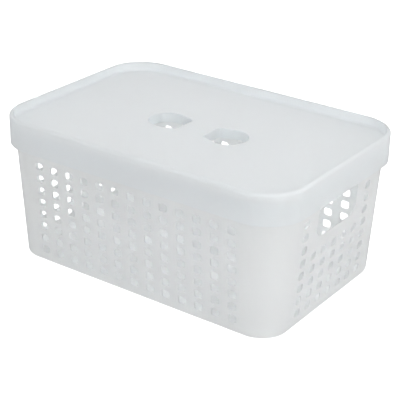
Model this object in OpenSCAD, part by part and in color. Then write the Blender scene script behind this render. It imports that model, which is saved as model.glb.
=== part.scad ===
// Perforated storage bin with a lift-off lid, both moulded in frosted polypropylene.
// Millimetres. +X runs along the long side, +Z is up, the origin is the centre of the base.

/* [Basket] */
// Length of the basket over its walls, at the base
base_l = 349.8; // [300:0.2:420]
// Width of the basket over its walls, at the base
base_w = 226; // [190:0.2:280]
// Corner radius of the basket at the base
base_corner_r = 31.6; // [24:0.2:44]
// Height of the basket's rim above the base
basket_h = 158.5; // [154:0.5:190]
// Outward lean of the walls, in degrees
wall_lean = 3.5; // [1:0.1:4.5]
// Thickness of the basket's walls
basket_wall = 1.8; // [1.2:0.1:3]
// Thickness of the basket's floor
floor_t = 2.2; // [1.5:0.1:4]
// Radius of the rounding where the walls meet the floor
foot_r = 3.2; // [2.4:0.1:6]

/* [Basket rim] */
// Width of the rim outside the wall
rim_out = 2.8; // [2.4:0.1:6]
// Depth of the rim's turned-down lip
rim_drop = 8; // [5:0.5:12]
// Thickness of the rim and of its lip
rim_t = 1.3; // [1:0.1:2]

/* [Ventilation holes] */
// Width of a hole
hole_w = 10.2; // [6:0.1:12]
// Height of a hole
hole_h = 8.8; // [5:0.1:10]
// Depth that a hole's rounding takes off each of its corners
hole_corner_cut = 1.1; // [0.4:0.1:1.4]
// Distance between hole columns in the long walls
long_pitch = 21.4; // [16:0.1:28]
// Distance between hole columns in the short walls
short_pitch = 20.95; // [16:0.05:28]
// Distance between hole rows
row_pitch = 14.87; // [12:0.01:18]
// Height of the lowest row's middle above the base
first_row_z = 16.1; // [12:0.1:22]
// Least solid wall between the holes and the corners, and between the holes and the skirt
hole_margin = 6; // [4:0.5:9]

/* [Handle slots] */
// Width of a handle slot
slot_w = 81; // [60:1:100]
// Height of a handle slot
slot_h = 40.5; // [30:0.5:50]
// Height of the grip left between a handle slot and the rim's top
slot_grip = 23; // [18:0.5:30]
// Corner radius of a handle slot
slot_corner_r = 12; // [6:0.5:14]
// Least solid wall between a handle slot and a hole
slot_web = 3; // [2:0.5:8]

/* [Lid] */
// Thickness of the lid's walls
lid_wall = 2; // [1.4:0.1:3]
// Gap between the basket's rim and the lid's skirt
skirt_gap = 0.6; // [0.3:0.1:1.5]
// Depth that the skirt hangs below the basket's rim
skirt_drop = 22.2; // [12:0.1:24]
// Thickness of the lid's sunk panel
panel_t = 2; // [1.4:0.1:3]
// Depth of the panel below the lid's raised edge
panel_recess = 10.9; // [6:0.1:14]
// Thickness of the raised edge above the panel
edge_w = 4.4; // [4.2:0.1:7]
// Radius of the rounding along the raised edge's outer side
shoulder_r = 3.7; // [1.5:0.1:4]
// Radius of the rounding where the panel meets the raised edge
panel_r = 3; // [1:0.5:5]

/* [Finger openings] */
// Radius of the round side of a finger opening
opening_r = 22; // [18:0.2:22.4]
// Length of a finger opening's flat side, along the grip bar
opening_flat = 32; // [24:0.5:36]
// Width of the grip bar between the two finger openings, inside their collars
grip_w = 36; // [26:0.5:44]
// Width of a finger opening, from the grip bar to its round side
opening_w = 45.5; // [42:0.1:48]
// Depth of the turned-down collar below the panel's top
collar_depth = 12; // [6:0.5:14]
// Thickness of the collar
collar_t = 1.8; // [1.2:0.1:3]

/* [Hidden] */
$fn = 96;

// Facets in a rounding of a wall's section
round_steps = 6;
// Facets in half of a finger opening's round side
opening_steps = 14;
// Extra length by which a cutting solid runs past the face it cuts
past = 1;

// Corner centres, shared by every wall of the basket and the lid
centre_x = base_l / 2 - base_corner_r;
centre_y = base_w / 2 - base_corner_r;
// Growth of the walls' radius per millimetre of height
lean = tan(wall_lean);
// Radii about the corner centres, at the height of the rim
top_r = base_corner_r + basket_h * lean;
rim_r = top_r + rim_out;
skirt_in_r = rim_r + skirt_gap;
skirt_r = skirt_in_r + lid_wall;
// Heights of the lid, which rests on the rim with the underside of its panel
panel_z = basket_h + panel_t;
lid_top_z = panel_z + panel_recess;
skirt_z = basket_h - skirt_drop;
slot_high_z = basket_h - slot_grip;
slot_low_z = slot_high_z - slot_h;
// Number of hole columns that fit on a wall, and of rows that fit under the skirt
function columns_on(half_flat, pitch) =
  2 * floor((half_flat - hole_w / 2 - hole_margin) / pitch) + 1;
hole_rows = floor((skirt_z - hole_margin - hole_h / 2 - first_row_z) / row_pitch) + 1;
// Middle of a finger opening's round side
opening_x = grip_w / 2 + opening_w - opening_r;

// Points on an arc of radius r about (x, y), from angle a0 to angle a1
function arc(x, y, r, a0, a1) =
  [for (i = [0:round_steps]) let (a = a0 + (a1 - a0) * i / round_steps)
    [x + r * cos(a), y + r * sin(a)]];

// Carries a wall's section round the plan: quarter turns at the corners, straights between.
// The section's x is the distance from the corner centre, and its y is the height.
module around() {
  for (side = [0, 1]) mirror([side, 0, 0]) {
    for (end = [0, 1]) mirror([0, end, 0])
      translate([centre_x, centre_y, 0]) rotate_extrude(angle = 90) children();
    translate([centre_x, centre_y, 0]) rotate([90, 0, 0])
      linear_extrude(2 * centre_y) children();
  }
  for (end = [0, 1]) mirror([0, end, 0])
    translate([-centre_x, centre_y, 0]) rotate([90, 0, 90])
      linear_extrude(2 * centre_x) children();
}

// Section of the basket: floor edge, leaning wall and turned-down rim
module basket_section() {
  wall_top = top_r - basket_wall;
  inner_low = base_corner_r + floor_t * lean - basket_wall;
  inner_r = foot_r - basket_wall / 2;
  polygon(concat(
    [[0, 0]],
    arc(base_corner_r - foot_r, foot_r, foot_r, -90, -wall_lean),
    [[top_r - rim_t * lean, basket_h - rim_t],
     [rim_r - rim_t, basket_h - rim_t],
     [rim_r - rim_t, basket_h - rim_drop],
     [rim_r, basket_h - rim_drop],
     [rim_r, basket_h],
     [wall_top, basket_h]],
    arc(inner_low - inner_r, floor_t + inner_r, inner_r, -wall_lean, -90),
    [[0, floor_t]]));
}

// Outline of one ventilation hole: a rectangle with its corners rounded off by a circle
module hole_outline() {
  intersection() {
    square([hole_w, hole_h], center = true);
    circle(r = norm([hole_w, hole_h]) / 2 - hole_corner_cut);
  }
}

// Outline of a handle slot: a rectangle with round corners
module slot_outline() {
  side = slot_w / 2 - slot_corner_r;
  rise = slot_h / 2 - slot_corner_r;
  translate([0, (slot_low_z + slot_high_z) / 2]) {
    square([slot_w, 2 * rise], center = true);
    square([2 * side, slot_h], center = true);
    for (u = [-side, side], v = [-rise, rise])
      translate([u, v]) circle(r = slot_corner_r);
  }
}

// True where a hole at (u, z) keeps clear of the handle slot
function clear_of_slot(u, z) =
  abs(u) - hole_w / 2 > slot_w / 2 + slot_web || z + hole_h / 2 < slot_low_z - slot_web;

// Holes of one wall, drawn across the wall and up it
module wall_holes(half_flat, pitch, slotted) {
  columns = columns_on(half_flat, pitch);
  for (i = [0:columns - 1], k = [0:hole_rows - 1]) {
    u = (i - (columns - 1) / 2) * pitch;
    z = first_row_z + k * row_pitch;
    if (!slotted || clear_of_slot(u, z)) translate([u, z]) hole_outline();
  }
  if (slotted) slot_outline();
}

// Perforated tub
module basket() {
  half_l = centre_x + rim_r + past;
  half_w = centre_y + rim_r + past;
  color([0.93, 0.95, 0.95]) difference() {
    union() {
      around() basket_section();
      translate([-centre_x, -centre_y, 0]) cube([2 * centre_x, 2 * centre_y, floor_t]);
    }
    translate([0, half_w, 0]) rotate([90, 0, 0]) linear_extrude(2 * half_w)
      wall_holes(centre_x, long_pitch, false);
    translate([-half_l, 0, 0]) rotate([90, 0, 90]) linear_extrude(2 * half_l)
      wall_holes(centre_y, short_pitch, true);
  }
}

// Section of the lid's edge: skirt, raised edge and the edge of the panel
module lid_section() {
  crest_r = edge_w - shoulder_r;
  edge_in_r = skirt_r - edge_w;
  polygon(concat(
    [[0, basket_h],
     [skirt_in_r, basket_h],
     [skirt_in_r, skirt_z],
     [skirt_r, skirt_z]],
    arc(skirt_r - shoulder_r, lid_top_z - shoulder_r, shoulder_r, 0, 90),
    arc(edge_in_r + crest_r, lid_top_z - crest_r, crest_r, 90, 180),
    arc(edge_in_r - panel_r, panel_z + panel_r, panel_r, 0, -90),
    [[0, panel_z]]));
}

// Direction in which an opening's slanting sides touch its round side
function side_angle() =
  let (back = opening_x - grip_w / 2, side = opening_flat / 2)
    atan2(side, -back) - acos(min(1, opening_r / norm([back, side])));

// Outline of a finger opening on the +X side, grown by extra all round: a round side, a flat side
// along the grip bar, and two slanting sides between them
module opening_outline(extra) {
  flat_x = grip_w / 2 - extra;
  r = opening_r + extra;
  turn = side_angle();
  flat_y = opening_flat / 2 + extra * (1 + cos(turn)) / sin(turn);
  polygon(concat(
    [for (i = [-opening_steps:opening_steps]) let (a = turn * i / opening_steps)
      [opening_x + r * cos(a), r * sin(a)]],
    [[flat_x, flat_y], [flat_x, -flat_y]]));
}

// Lid with its skirt, sunk panel and two collared finger openings
module lid() {
  color([0.95, 0.97, 0.97]) difference() {
    union() {
      around() lid_section();
      translate([-centre_x, -centre_y, basket_h]) cube([2 * centre_x, 2 * centre_y, panel_t]);
      for (side = [0, 1]) mirror([side, 0, 0])
        translate([0, 0, panel_z - collar_depth]) linear_extrude(collar_depth)
          opening_outline(collar_t);
    }
    for (side = [0, 1]) mirror([side, 0, 0])
      translate([0, 0, panel_z - collar_depth - past]) linear_extrude(collar_depth + 2 * past)
        opening_outline(0);
  }
}

basket();
lid();
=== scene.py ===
"""Looks of a lidded, perforated storage bin moulded in frosted polypropylene.

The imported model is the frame: the bin's walls, rim and lid are rebuilt here as smooth moulded
surfaces at the frame's own sizes. All lengths are metres, the origin is the middle of the base.
"""
from math import cos, pi, radians, sin, tan

import bmesh
import bpy
import numpy as np
from mathutils import Matrix, Vector


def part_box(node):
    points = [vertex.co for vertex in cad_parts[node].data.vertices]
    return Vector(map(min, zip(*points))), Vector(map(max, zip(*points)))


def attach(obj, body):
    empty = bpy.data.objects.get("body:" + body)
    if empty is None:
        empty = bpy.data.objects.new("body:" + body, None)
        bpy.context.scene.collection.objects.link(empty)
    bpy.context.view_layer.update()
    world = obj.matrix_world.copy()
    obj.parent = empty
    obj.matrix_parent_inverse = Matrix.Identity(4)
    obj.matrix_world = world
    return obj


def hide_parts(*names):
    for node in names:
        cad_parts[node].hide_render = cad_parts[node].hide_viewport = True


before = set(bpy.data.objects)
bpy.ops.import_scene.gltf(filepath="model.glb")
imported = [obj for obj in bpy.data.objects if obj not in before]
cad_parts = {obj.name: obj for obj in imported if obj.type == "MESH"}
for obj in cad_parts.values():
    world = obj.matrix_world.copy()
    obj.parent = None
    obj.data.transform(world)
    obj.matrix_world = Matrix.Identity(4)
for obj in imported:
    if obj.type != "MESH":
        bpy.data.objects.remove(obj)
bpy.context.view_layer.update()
scene = bpy.context.scene
MM = 0.001

# Camera
# It stands at the photograph's viewing angle, a little above the lid and round to the right,
# so that one long wall, one short wall and the whole lid show.
view_azimuth = 35.41
view_elevation = 24.64
view_roll = 1.02
view_distance = 1.396
aim = Vector((0, 0, 0.085))

camera_data = bpy.data.cameras.new("camera")
camera_data.lens = 110.9
camera_data.shift_x = 0.0081
camera_data.shift_y = -0.0249
camera = bpy.data.objects.new("camera", camera_data)
scene.collection.objects.link(camera)
camera.matrix_world = (
    Matrix.Translation(aim) @ Matrix.Rotation(radians(view_azimuth), 4, "Z")
    @ Matrix.Rotation(radians(90 - view_elevation), 4, "X") @ Matrix.Translation((0, 0, view_distance))
    @ Matrix.Rotation(radians(view_roll), 4, "Z"))
scene.camera = camera

# Tub
# An injection-moulded polypropylene tub: four walls that lean outwards for the mould's draft,
# rows of rounded-square ventilation holes, a closed floor and a turned-out, turned-down rim.
tub_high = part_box("basket")[1]
rim_top = tub_high.z
rim_out = 2.8 * MM
rim_drop = 8 * MM
rim_thick = 1.3 * MM
lean = tan(radians(3.5))
wall_thick = 1.8 * MM
floor_thick = 2.2 * MM
foot_radius = 3.2 * MM
trim_radius = 0.6 * MM
rim_radius_inside = 0.9 * MM
tub_corner = 31.6 * MM

# Radius of the rim about the corner centres, and the corner centres themselves
rim_radius = tub_corner + rim_top * lean + rim_out
centre_x = tub_high.x - rim_radius
centre_y = tub_high.y - rim_radius

hole_half = np.array([5.1, 4.4]) * MM
hole_squareness = 3.8
hole_edge = 0.5 * MM
long_pitch, long_columns = 21.4 * MM, 13
short_pitch, short_columns = 20.95 * MM, 7
row_pitch, hole_rows = 14.87 * MM, 8
first_row = 16.1 * MM
cell_steps = 5

slot_half = np.array([40.5, 20.25]) * MM
slot_grip = 23 * MM
slot_middle = rim_top - slot_grip - slot_half[1]
slot_corner = 12 * MM
slot_edge = 0.7 * MM
slot_columns, slot_rows = 5, 3
slot_block_top = 141.5 * MM
wall_top = 147 * MM
corner_steps = 14


def stretch(*stops):
    """Marks along a line: stop, count, stop, count, ... stop, evenly spaced between each pair of stops."""
    marks = [np.linspace(a, b, n + 1)[:-1] for a, n, b in zip(stops[0:-2:2], stops[1:-1:2], stops[2::2])]
    return np.append(np.concatenate(marks), stops[-1])


def rounded(path, radii, steps=4):
    """A polyline with its inner corners turned into arcs: each arc of radius r touches both its sides
    at r / tan(half the angle between them), and its points are the slerp of the two unit normals."""
    path = np.array(path, float)
    points = [path[:1]]
    for before, corner, after, radius in zip(path[:-2], path[1:-1], path[2:], radii):
        if radius == 0:
            points.append(corner[None])
            continue
        u = (before - corner) / np.linalg.norm(before - corner)
        v = (after - corner) / np.linalg.norm(after - corner)
        half = np.arccos(np.clip(u @ v, -1, 1)) / 2
        middle = corner + (u + v) / np.linalg.norm(u + v) * radius / sin(half)
        start = corner + u * radius / np.tan(half) - middle
        end = corner + v * radius / np.tan(half) - middle
        swing = pi - 2 * half
        t = np.linspace(0, 1, steps + 1)[:, None]
        points.append(middle + (np.sin((1 - t) * swing) * start + np.sin(t * swing) * end) / sin(swing))
    points.append(path[-1:])
    return np.concatenate(points)


def plan(x_marks, y_marks):
    """The way round the bin, seen from above: for each station its corner centre or point between two
    corner centres, and the unit direction in which a wall's radius is measured there."""
    angle = np.linspace(0, pi / 2, corner_steps + 1)[1:-1]
    around = []
    for quarter in range(4):
        marks = y_marks if quarter % 2 == 0 else x_marks
        ahead, aside = (centre_x, centre_y) if quarter % 2 == 0 else (centre_y, centre_x)
        facing = quarter * pi / 2
        flat = np.stack([np.full(len(marks), ahead), marks, np.zeros(len(marks))], 1)
        bend = np.stack([np.full(len(angle), ahead), np.full(len(angle), aside), angle], 1)
        part = np.concatenate([flat, bend])
        c, s = cos(facing), sin(facing)
        core = part[:, :2] @ np.array([[c, s], [-s, c]])
        way = part[:, 2] + facing
        around.append(np.concatenate([core, np.cos(way)[:, None], np.sin(way)[:, None]], 1))
    around = np.concatenate(around)
    return around[:, :2], around[:, 2:]


def grid_faces(rows, columns, close_rows=False):
    """Quads between neighbouring points of a rows by columns grid, as an array of vertex numbers.
    With close_rows the last row joins the first."""
    i, j = np.meshgrid(np.arange(rows if close_rows else rows - 1), np.arange(columns - 1), indexing="ij")
    n = (i + 1) % rows
    return np.stack([i * columns + j, n * columns + j, n * columns + j + 1, i * columns + j + 1], -1)


def carry(core, way, section):
    """A wall's section, (radius, height) points, carried round the plan: point = core + radius * way."""
    xy = core[:, None] + section[None, :, :1] * way[:, None]
    z = np.broadcast_to(section[None, :, 1:], xy.shape[:2] + (1,))
    return np.concatenate([xy, z], 2)


def block_edge(u_marks, v_marks):
    """The marks on the edge of a rectangular block, once round it anticlockwise."""
    u0, u1, v0, v1 = u_marks[0], u_marks[-1], v_marks[0], v_marks[-1]
    return np.concatenate([
        np.stack([u_marks[:-1], np.full(len(u_marks) - 1, v0)], 1),
        np.stack([np.full(len(v_marks) - 1, u1), v_marks[:-1]], 1),
        np.stack([u_marks[:0:-1], np.full(len(u_marks) - 1, v1)], 1),
        np.stack([np.full(len(v_marks) - 1, u0), v_marks[:0:-1]], 1)])


def outward(outline):
    """Unit normals of closed outlines whose points run anticlockwise: the chord between a point's
    two neighbours, turned a quarter turn clockwise."""
    chord = np.roll(outline, -1, -2) - np.roll(outline, 1, -2)
    normal = np.stack([chord[..., 1], -chord[..., 0]], -1)
    return normal / np.linalg.norm(normal, axis=-1, keepdims=True)


def pierce(edge, outline, thick, radius, steps=2):
    """Rings (u, v, depth) from a block's edge on the outer face, over a rounded brim, through the wall,
    over the inner brim and back to the block's edge on the inner face. The brims are quarter circles:
    offset = radius * (1 - sin a) along the outline's normal, depth = radius * (1 - cos a)."""
    a = np.linspace(0, pi / 2, steps + 1)
    offset = radius * (1 - np.sin(a))
    depth = radius * (1 - np.cos(a))
    offset = np.concatenate([offset, offset[::-1]])
    depth = np.concatenate([depth, thick - depth[::-1]])
    normal = outward(outline)
    brim = outline[None] + offset[:, None, None] * normal[None]
    deep = np.broadcast_to(depth[:, None, None], brim.shape[:2] + (1,))
    rings = np.concatenate([brim, deep], 2)
    first = np.concatenate([edge, np.zeros((len(edge), 1))], 1)[None]
    last = np.concatenate([edge, np.full((len(edge), 1), thick)], 1)[None]
    return np.concatenate([first, rings, last])


def squircle(edge, middle, block_half, half, squareness):
    """Each edge point drawn in to a superellipse |u|^n + |v|^n = 1 along its own direction."""
    unit = (edge - middle) / block_half
    return middle + half * unit / (np.abs(unit) ** squareness).sum(1, keepdims=True) ** (1 / squareness)


def round_rectangle(edge, middle, half, corner):
    """Each edge point moved to the nearest point of a rectangle with round corners: the nearest point
    of the rectangle's core, plus the corner radius towards the edge point."""
    core = np.clip(edge - middle, corner - half, half - corner)
    away = edge - middle - core
    return middle + core + corner * away / np.linalg.norm(away, axis=1, keepdims=True)


def solid(name, patches):
    """One mesh object from (points, faces) patches in metres, with shared points merged and
    flat faces weighing most in the shading normals."""
    points, faces, start = [], [], 0
    for patch_points, patch_faces in patches:
        points.append(patch_points.reshape(-1, 3))
        faces.append(patch_faces.reshape(-1, 4) + start)
        start += len(points[-1])
    mesh = bpy.data.meshes.new(name)
    mesh.from_pydata(np.concatenate(points).tolist(), [], np.concatenate(faces).tolist())
    work = bmesh.new()
    work.from_mesh(mesh)
    bmesh.ops.remove_doubles(work, verts=work.verts, dist=1e-6)
    bmesh.ops.recalc_face_normals(work, faces=work.faces)
    work.to_mesh(mesh)
    work.free()
    mesh.shade_smooth()
    piece = bpy.data.objects.new(name, mesh)
    scene.collection.objects.link(piece)
    weighted = piece.modifiers.new("flat faces lead", "WEIGHTED_NORMAL")
    weighted.weight = 100
    return piece


def wall_place(quarter, rings):
    """Points (u, z, depth) of a wall, in the frame: out = corner centre + tub radius at z - depth,
    turned to face the wall's own quarter."""
    u, z, depth = rings[..., 0], rings[..., 1], rings[..., 2]
    ahead = centre_x if quarter % 2 == 0 else centre_y
    out = ahead + tub_corner + z * lean - depth
    c, s = cos(quarter * pi / 2), sin(quarter * pi / 2)
    return np.stack([out * c - u * s, out * s + u * c, z], -1)


long_half = long_pitch * long_columns / 2
short_half = short_pitch * short_columns / 2
rows_low = first_row - row_pitch / 2
rows_high = rows_low + hole_rows * row_pitch
x_marks = stretch(-centre_x, 1, -long_half, long_columns * cell_steps, long_half, 1, centre_x)
y_marks = stretch(-centre_y, 2, -short_half, short_columns * cell_steps, short_half, 2, centre_y)
wall_marks = stretch(rows_low, hole_rows * cell_steps, rows_high, 3, slot_block_top, 1, wall_top)

outer_wall = np.stack([tub_corner + wall_marks * lean, wall_marks], 1)
inner_wall = (outer_wall - [wall_thick, 0])[::-1]
rim_under = rim_top - rim_thick
foot = rounded([[0, 0], [tub_corner, 0], outer_wall[0]], [foot_radius], steps=6)[:-1]
rim = rounded(
    [outer_wall[-1], [tub_corner + rim_under * lean, rim_under], [rim_radius - rim_thick, rim_under],
     [rim_radius - rim_thick, rim_top - rim_drop], [rim_radius, rim_top - rim_drop],
     [rim_radius, rim_top], [tub_corner + rim_top * lean - wall_thick, rim_top], inner_wall[0]],
    [trim_radius] * 4 + [rim_radius_inside, trim_radius])[1:-1]
inner_foot = rounded(
    [inner_wall[-1], [tub_corner + floor_thick * lean - wall_thick, floor_thick], [0, floor_thick]],
    [foot_radius - wall_thick / 2], steps=6)[1:]
tub_section = np.concatenate([foot, outer_wall, rim, inner_wall, inner_foot])

core, way = plan(x_marks, y_marks)
tub_skin = carry(core, way, tub_section)
tub_faces = grid_faces(len(core), len(tub_section), close_rows=True)

# The skin stays open where the holes' own blocks are let in
station_wall = np.concatenate([
    np.concatenate([(np.abs((m[:-1] + m[1:]) / 2) < h), np.zeros(corner_steps, bool)])
    for m, h in ((y_marks, short_half), (x_marks, long_half)) * 2])
station_slot = np.concatenate([
    np.concatenate([(np.abs((m[:-1] + m[1:]) / 2) < h), np.zeros(corner_steps, bool)])
    for m, h in ((y_marks, slot_columns * short_pitch / 2), (x_marks, 0)) * 2])
level = (tub_section[:-1, 1] + tub_section[1:, 1]) / 2
in_wall = np.zeros(len(level), bool)
in_wall[len(foot):len(foot) + len(outer_wall) - 1] = True
in_wall[len(foot) + len(outer_wall) + len(rim):len(level) - len(inner_foot)] = True
cut = station_wall[:, None] & (in_wall & (level < rows_high))[None]
cut |= station_slot[:, None] & (in_wall & (level < slot_block_top))[None]
tub_patches = [(tub_skin, tub_faces[~cut])]

for quarter in range(4):
    short = quarter % 2 == 0
    pitch, columns = (short_pitch, short_columns) if short else (long_pitch, long_columns)
    for column in range(columns):
        u = (column - (columns - 1) / 2) * pitch
        for row in range(hole_rows):
            if short and abs(u) < slot_columns * pitch / 2 and row >= hole_rows - slot_rows:
                continue
            v = first_row + row * row_pitch
            middle, block_half = np.array([u, v]), np.array([pitch, row_pitch]) / 2
            edge = block_edge(np.linspace(u - pitch / 2, u + pitch / 2, cell_steps + 1),
                              np.linspace(v - row_pitch / 2, v + row_pitch / 2, cell_steps + 1))
            hole = squircle(edge, middle, block_half, hole_half, hole_squareness)
            rings = wall_place(quarter, pierce(edge, hole, wall_thick, hole_edge))
            rings = np.concatenate([rings, rings[:, :1]], 1)
            tub_patches.append((rings, grid_faces(*rings.shape[:2])))
    if short:
        half_block = slot_columns * short_pitch / 2
        edge = block_edge(
            np.linspace(-half_block, half_block, slot_columns * cell_steps + 1),
            wall_marks[(hole_rows - slot_rows) * cell_steps:hole_rows * cell_steps + 4])
        slot = round_rectangle(edge, np.array([0, slot_middle]), slot_half, slot_corner)
        rings = wall_place(quarter, pierce(edge, slot, wall_thick, slot_edge, steps=3))
        rings = np.concatenate([rings, rings[:, :1]], 1)
        tub_patches.append((rings, grid_faces(*rings.shape[:2])))

floor_x, floor_y = np.meshgrid(x_marks, y_marks, indexing="ij")
for z in (0, floor_thick):
    sheet = np.stack([floor_x, floor_y, np.full(floor_x.shape, z)], -1)
    tub_patches.append((sheet, grid_faces(*floor_x.shape)))
tub = solid("tub", tub_patches)


def add(tree, kind, sockets, **settings):
    """A new node: a socket given for an input is linked to it, a number or colour is set on it."""
    node = tree.nodes.new(kind)
    for name, value in settings.items():
        setattr(node, name, value)
    for name, value in sockets.items():
        if isinstance(value, bpy.types.NodeSocket):
            tree.links.new(value, node.inputs[name])
        else:
            node.inputs[name].default_value = value
    return node


def new_group(name, inputs, output):
    """An empty shader group with named inputs and one output, each given as (name, socket type)."""
    group = bpy.data.node_groups.new(name, "ShaderNodeTree")
    for label, kind in inputs:
        group.interface.new_socket(name=label, in_out="INPUT", socket_type=kind)
    group.interface.new_socket(name=output, in_out="OUTPUT", socket_type="NodeSocketFloat")
    return group, group.nodes.new("NodeGroupInput").outputs, group.nodes.new("NodeGroupOutput").inputs[0]


# The blasted mould leaves a fine satin grain over a slight unevenness of the cooled wall:
# height = fine noise + broad noise * unevenness
swells_per_metre = 70.0
grain, given, height = new_group(
    "satin grain", [("Coordinates", "NodeSocketVector"), ("Grains per metre", "NodeSocketFloat"),
                    ("Unevenness", "NodeSocketFloat")], "Height")
fine = add(grain, "ShaderNodeTexNoise", {"Vector": given[0], "Scale": given[1], "Detail": 2.0})
broad = add(grain, "ShaderNodeTexNoise", {"Vector": given[0], "Scale": swells_per_metre, "Detail": 1.0})
swell = add(grain, "ShaderNodeMath", {0: broad.outputs[0], 1: given[2]}, operation="MULTIPLY")
total = add(grain, "ShaderNodeMath", {0: fine.outputs[0], 1: swell.outputs[0]}, operation="ADD")
grain.links.new(total.outputs[0], height)

# Flow clouds follow the melt as it ran up the walls: noise drawn out along the height, plus finer
# wisps, spread about 0.5
drawn_out = (1, 1, 0.45)
cloud_twist = 0.6
wisps_per_metre, wisp_share = 90.0, 0.3
clouds, given, tone = new_group(
    "flow clouds", [("Coordinates", "NodeSocketVector"), ("Clouds per metre", "NodeSocketFloat"),
                    ("Spread", "NodeSocketFloat")], "Tone")
drawn = add(clouds, "ShaderNodeVectorMath", {0: given[0], 1: drawn_out}, operation="MULTIPLY")
slow = add(clouds, "ShaderNodeTexNoise",
           {"Vector": drawn.outputs[0], "Scale": given[1], "Detail": 1.0, "Distortion": cloud_twist})
wisps = add(clouds, "ShaderNodeTexNoise",
            {"Vector": drawn.outputs[0], "Scale": wisps_per_metre, "Detail": 2.0})
blend = add(clouds, "ShaderNodeMix", {"Factor": wisp_share, 2: slow.outputs[0], 3: wisps.outputs[0]})
centred = add(clouds, "ShaderNodeMath", {0: blend.outputs[0], 1: 0.5}, operation="SUBTRACT")
wide = add(clouds, "ShaderNodeMath", {0: centred.outputs[0], 1: given[2], 2: 0.5}, operation="MULTIPLY_ADD",
           use_clamp=True)
clouds.links.new(wide.outputs[0], tone)

# An edge band of its own colour: the mask is 1 at the edge's height and falls smoothly to 0 within
# its reach. On the lid the band is painted shade that darkens the raised edge; on the tub it is a
# lighter band over the rim.
edge_tint_and_shade, given, tint_and_shade_mask = new_group(
    "edge tint and painted shade", [("Coordinates", "NodeSocketVector"), ("Level", "NodeSocketFloat"),
                   ("Reach", "NodeSocketFloat")], "Mask")
axes = add(edge_tint_and_shade, "ShaderNodeSeparateXYZ", {0: given[0]})
rise = add(edge_tint_and_shade, "ShaderNodeMath", {0: axes.outputs[2], 1: given[1]}, operation="SUBTRACT")
away = add(edge_tint_and_shade, "ShaderNodeMath", {0: rise.outputs[0]}, operation="ABSOLUTE")
share = add(edge_tint_and_shade, "ShaderNodeMath", {0: away.outputs[0], 1: given[2]}, operation="DIVIDE")
near = add(edge_tint_and_shade, "ShaderNodeMapRange",
           {"Value": share.outputs[0], "From Min": 0.0, "From Max": 1.0, "To Min": 1.0, "To Max": 0.0},
           interpolation_type="SMOOTHSTEP")
edge_tint_and_shade.links.new(near.outputs[0], tint_and_shade_mask)

# Both mouldings come from the same plastic and the same blasting, so they share these
clouds_per_metre, cloud_spread = 11.0, 2.2
grains_per_metre, unevenness = 1500.0, 3.0
least_rough, most_rough = 0.66, 0.76
grain_strength, grain_height = 0.35, 0.02 * MM
scatter_length = 4 * MM


def frosted_plastic(name, thin_colour, milky_colour, edge_tint_and_shade_colour, level, reach, clarity):
    """Colourless polypropylene: light goes through its first millimetres and is scattered there."""
    material = bpy.data.materials.new(name)
    material.use_nodes = True
    tree = material.node_tree
    shader = tree.nodes["Principled BSDF"]
    place = add(tree, "ShaderNodeTexCoord", {}).outputs["Object"]
    cloud = add(tree, "ShaderNodeGroup", {}, node_tree=clouds)
    surface = add(tree, "ShaderNodeGroup", {}, node_tree=grain)
    edge = add(tree, "ShaderNodeGroup", {}, node_tree=edge_tint_and_shade)
    for node, values in ((cloud, (clouds_per_metre, cloud_spread)),
                         (surface, (grains_per_metre, unevenness)), (edge, (level, reach))):
        tree.links.new(place, node.inputs[0])
        node.inputs[1].default_value, node.inputs[2].default_value = values
    body = add(tree, "ShaderNodeMix",
               {"Factor": cloud.outputs[0], 6: (*thin_colour, 1), 7: (*milky_colour, 1)}, data_type="RGBA")
    # The edge band's colour over the body: painted shade on the lid's raised edge, a lighter rim on the tub
    full = add(tree, "ShaderNodeMix",
               {"Factor": edge.outputs[0], 6: body.outputs[2], 7: (*edge_tint_and_shade_colour, 1)}, data_type="RGBA")
    sheen = add(tree, "ShaderNodeMapRange",
                {"Value": cloud.outputs[0], "To Min": least_rough, "To Max": most_rough})
    bump = add(tree, "ShaderNodeBump",
               {"Strength": grain_strength, "Distance": grain_height, "Height": surface.outputs[0]})
    tree.links.new(full.outputs[2], shader.inputs["Base Color"])
    tree.links.new(sheen.outputs[0], shader.inputs["Roughness"])
    tree.links.new(bump.outputs[0], shader.inputs["Normal"])
    shader.inputs["IOR"].default_value = 1.49
    shader.inputs["Subsurface Weight"].default_value = 1.0
    shader.inputs["Subsurface Radius"].default_value = (1, 1, 1)
    shader.inputs["Subsurface Scale"].default_value = scatter_length
    shader.inputs["Transmission Weight"].default_value = clarity
    return material


tub.data.materials.append(frosted_plastic(
    "tub_frosted", thin_colour=(0.925, 0.932, 0.93), milky_colour=(0.94, 0.947, 0.947),
    edge_tint_and_shade_colour=(0.945, 0.955, 0.955), level=rim_top, reach=8 * MM, clarity=0.42))
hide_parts("basket")
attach(tub, "basket")

# Lid
# A second moulding of the same plastic: a skirt that hangs over the tub's rim and stands up as a
# raised edge, a flat panel sunk below that edge, and two D-shaped finger openings whose turned-down
# collars leave a grip bar between them.
lid_low, lid_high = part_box("lid")
lid_wall = 2 * MM
panel_thick = 2 * MM
panel_top = rim_top + panel_thick
lid_top = lid_high.z
skirt_low = lid_low.z
skirt_radius = lid_high.x - centre_x
panel_fillet = 3 * MM
panel_margin = 9 * MM
edge_width = 4.4 * MM
edge_draft = 0.3 * MM
crest_radius = 0.65 * MM
shoulder_radius = 3.7 * MM
skirt_rounding = 0.6 * MM
under_fillet = 0.8 * MM
opening_radius = 22 * MM
opening_flat = 32 * MM
grip_width = 36 * MM
opening_width = 45.5 * MM
opening_x = grip_width / 2 + opening_width - opening_radius
collar_depth = 12 * MM
collar_thick = 1.8 * MM
collar_rounding = 0.7 * MM
brim_radius = 0.6 * MM
brim_land = 8 * MM
corner_ease = 40
block_near, block_far, block_half_y = 6 * MM, 74 * MM, 35 * MM
block_steps = 20


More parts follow.
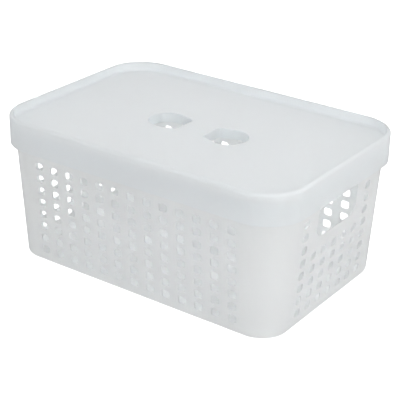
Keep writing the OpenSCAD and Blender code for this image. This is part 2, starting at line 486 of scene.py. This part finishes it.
def d_outline(edge, side):
    """A D with slanting sides, as a radius for each direction about the round side's middle. Up to the
    angle where the slanting sides touch the round side, the radius is the circle's. Past it, the radius
    is the soft minimum (a^-n + b^-n)^(-1/n) of the slanting side's r / cos(angle - touch) and the flat
    side's distance / cos(angle to its normal), which eases the corners."""
    middle = np.array([side * opening_x, 0])
    angle = np.arctan2(edge[:, 1], side * (edge[:, 0] - middle[0]))
    back, half_flat = opening_x - grip_width / 2, opening_flat / 2
    touch = np.arctan2(half_flat, -back) - np.arccos(opening_radius / np.hypot(back, half_flat))
    slant = opening_radius / np.cos(np.clip(np.abs(angle) - touch, 0, 1.4))
    flat = back / np.maximum(-np.cos(angle), 1e-3)
    soft = (slant ** -corner_ease + flat ** -corner_ease) ** (-1 / corner_ease)
    radius = np.where(np.abs(angle) < touch, opening_radius, soft)
    return middle + radius[:, None] * np.stack([side * np.cos(angle), np.sin(angle)], 1)


lid_x = stretch(-centre_x, 12, -block_far, block_steps, -block_near, 4,
                block_near, block_steps, block_far, 12, centre_x)
lid_y = stretch(-centre_y, 8, -block_half_y, block_steps, block_half_y, 8, centre_y)
core, way = plan(lid_x, lid_y)
inner_radius = skirt_radius - lid_wall
edge_inside = skirt_radius - edge_width
lid_section = rounded(
    [[0, panel_top], [edge_inside - edge_draft, panel_top], [edge_inside, lid_top],
     [skirt_radius, lid_top], [skirt_radius, skirt_low], [inner_radius, skirt_low],
     [inner_radius, rim_top], [0, rim_top]],
    [panel_fillet, crest_radius, shoulder_radius, skirt_rounding, skirt_rounding, under_fillet], steps=7)
lid_section = np.insert(lid_section, 1, [edge_inside - panel_margin, panel_top], 0)
lid_patches = [(carry(core, way, lid_section), grid_faces(len(core), len(lid_section), close_rows=True))]

panel_x, panel_y = np.meshgrid(lid_x, lid_y, indexing="ij")
between_x = np.abs((lid_x[:-1] + lid_x[1:]) / 2)
between_y = np.abs((lid_y[:-1] + lid_y[1:]) / 2)
in_block = ((between_x > block_near) & (between_x < block_far))[:, None] & (between_y < block_half_y)[None]
for z in (panel_top, rim_top):
    sheet = np.stack([panel_x, panel_y, np.full(panel_x.shape, z)], -1)
    lid_patches.append((sheet, grid_faces(*panel_x.shape)[~in_block]))

for side in (-1, 1):
    u_marks = lid_x[(lid_x * side > block_near - MM / 2) & (lid_x * side < block_far + MM / 2)]
    v_marks = lid_y[np.abs(lid_y) < block_half_y + MM / 2]
    edge = block_edge(u_marks, v_marks)
    outline = d_outline(edge, side)
    normal = outward(outline)
    profile = rounded(
        [[brim_land, panel_top], [0, panel_top], [0, panel_top - collar_depth],
         [collar_thick, panel_top - collar_depth], [collar_thick, rim_top], [brim_land, rim_top]],
        [brim_radius, collar_rounding, collar_rounding, under_fillet])[1:-1]
    flat_rings = outline[None] + profile[:, :1, None] * normal[None]
    height = np.broadcast_to(profile[:, 1, None, None], flat_rings.shape[:2] + (1,))
    rings = np.concatenate([flat_rings, height], 2)
    top = np.concatenate([edge, np.full((len(edge), 1), panel_top)], 1)[None]
    under = np.concatenate([edge, np.full((len(edge), 1), rim_top)], 1)[None]
    rings = np.concatenate([top, rings, under])
    rings = np.concatenate([rings, rings[:, :1]], 1)
    lid_patches.append((rings, grid_faces(*rings.shape[:2])))
lid = solid("bin_lid", lid_patches)
# The lid's edge colour, darker than its body, is painted shade over the raised edge and the top of the
# skirt
lid.data.materials.append(frosted_plastic(
    "lid_frosted", thin_colour=(0.925, 0.957, 0.972), milky_colour=(0.94, 0.969, 0.985),
    edge_tint_and_shade_colour=(0.905, 0.937, 0.95), level=lid_top, reach=7 * MM, clarity=0.42))
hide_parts("lid")
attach(lid, "lid")

# Studio
# A white paper floor that runs out of sight under even light from all round. The camera sees floor
# and surroundings as white, and the floor still darkens in the bin's shadow.
floor_reach = 6.0
paper_white = (0.92, 0.92, 0.92, 1)
glow_to_camera = 0.5
glow_seen_directly = 0.42
room_light = 0.69
room_seen = 1.0


def seen_directly(tree):
    """1 for a ray that shows the surroundings (camera, mirror or clear plastic), 0 for one that lights."""
    ray = add(tree, "ShaderNodeLightPath", {}).outputs
    either = add(tree, "ShaderNodeMath", {0: ray["Is Camera Ray"], 1: ray["Is Glossy Ray"]},
                 operation="MAXIMUM")
    any_ray = add(tree, "ShaderNodeMath", {0: either.outputs[0], 1: ray["Is Transmission Ray"]},
                  operation="MAXIMUM")
    return any_ray.outputs[0]


floor_mesh = bpy.data.meshes.new("studio_floor")
floor_mesh.from_pydata([(-floor_reach, -floor_reach, 0), (floor_reach, -floor_reach, 0),
                        (floor_reach, floor_reach, 0), (-floor_reach, floor_reach, 0)], [], [(0, 1, 2, 3)])
studio_floor = bpy.data.objects.new("studio_floor", floor_mesh)
scene.collection.objects.link(studio_floor)
paper = bpy.data.materials.new("white_paper")
paper.use_nodes = True
sheet_shader = paper.node_tree.nodes["Principled BSDF"]
sheet_shader.inputs["Base Color"].default_value = paper_white
sheet_shader.inputs["Roughness"].default_value = 0.95
sheet_shader.inputs["Specular IOR Level"].default_value = 0
sheet_shader.inputs["Emission Color"].default_value = (1, 1, 1, 1)
plain = add(paper.node_tree, "ShaderNodeMath",
            {0: seen_directly(paper.node_tree), 1: glow_seen_directly}, operation="MULTIPLY")
to_camera = add(paper.node_tree, "ShaderNodeLightPath", {}).outputs["Is Camera Ray"]
glow = add(paper.node_tree, "ShaderNodeMath",
           {0: to_camera, 1: glow_to_camera, 2: plain.outputs[0]}, operation="MULTIPLY_ADD")
paper.node_tree.links.new(glow.outputs[0], sheet_shader.inputs["Emission Strength"])
floor_mesh.materials.append(paper)

world = bpy.data.worlds.new("studio")
scene.world = world
world.use_nodes = True
background = world.node_tree.nodes["Background"]
background.inputs["Color"].default_value = (1, 1, 1, 1)
level_of_light = add(world.node_tree, "ShaderNodeMapRange",
                     {"Value": seen_directly(world.node_tree), "To Min": room_light, "To Max": room_seen})
world.node_tree.links.new(level_of_light.outputs["Result"], background.inputs["Strength"])


def soft_box(name, place, towards, side, watts):
    """A square area lamp at a place, turned to face a point."""
    data = bpy.data.lights.new(name, "AREA")
    data.shape = "SQUARE"
    data.size = side
    data.energy = watts
    lamp = bpy.data.objects.new(name, data)
    lamp.location = place
    lamp.rotation_euler = (Vector(towards) - Vector(place)).to_track_quat("-Z", "Y").to_euler()
    scene.collection.objects.link(lamp)
    return lamp


soft_box("side_light", place=(0.86, -0.28, 0.44), towards=(0, 0, 0.08), side=0.7, watts=1.5)
soft_box("top_light", place=(0.1, 0.1, 1.7), towards=(0, 0, 0.1), side=1.4, watts=6.4)

scene.view_settings.view_transform = "Standard"
scene.cycles.max_bounces = 24
scene.cycles.diffuse_bounces = 16
scene.cycles.transmission_bounces = 16
